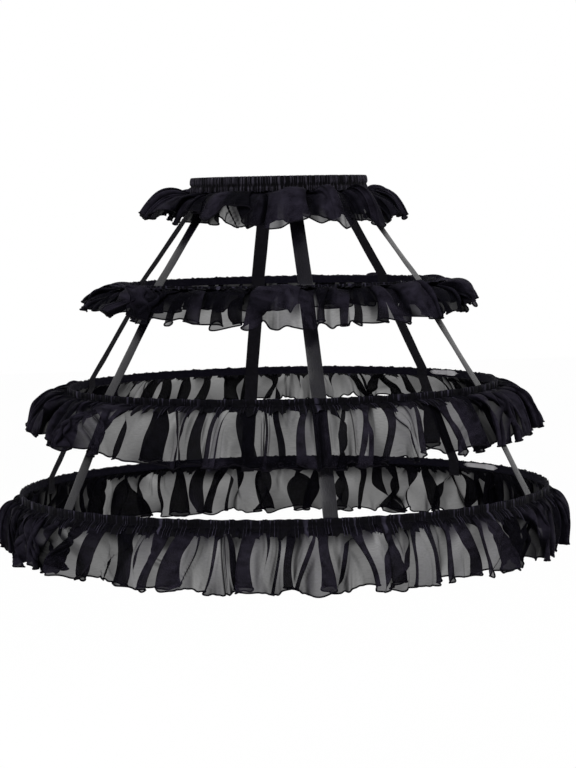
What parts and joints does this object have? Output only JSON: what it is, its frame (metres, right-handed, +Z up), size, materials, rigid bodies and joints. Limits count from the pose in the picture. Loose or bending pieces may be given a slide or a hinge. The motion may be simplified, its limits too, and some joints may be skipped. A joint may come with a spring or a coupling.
{
  "type": "cage crinoline",
  "caption": "Ruffled cage crinoline: gathered sheer tiers on boned hoops hang by satin ribbons from a shirred elastic waistband, to hold a skirt out from the body.",
  "frame": {"origin": "centre of the waist opening at the waistband's mid height", "axes": "+Z up along the wearer, -Y is the front, +X is the wearer's left"},
  "size_m": [0.8039, 0.8059, 0.5306],
  "materials": {
    "chiffon": "sheer",
    "casing_tape": "matte",
    "shirred_cloth": "matte",
    "elastic": "woven",
    "satin": "satin",
    "bone": "matte",
    "sleeve": "matte"
  },
  "bodies": {
    "root": {"waistband": "shirred_cloth", "waist_elastic": "elastic", "waist_ruffle": "chiffon", "upper_hoop_casing": "casing_tape", "upper_hoop_bone": "bone", "upper_joint_sleeve": "sleeve", "upper_ruffle": "chiffon", "middle_hoop_casing": "casing_tape", "middle_hoop_bone": "bone", "middle_joint_sleeve": "sleeve", "middle_ruffle": "chiffon", "lower_hoop_casing": "casing_tape", "lower_hoop_bone": "bone", "lower_joint_sleeve": "sleeve", "lower_ruffle": "chiffon", "front_ribbon": "satin", "front_right_ribbon": "satin", "back_right_ribbon": "satin", "back_ribbon": "satin", "back_left_ribbon": "satin", "front_left_ribbon": "satin"}
  },
  "joints": []
}
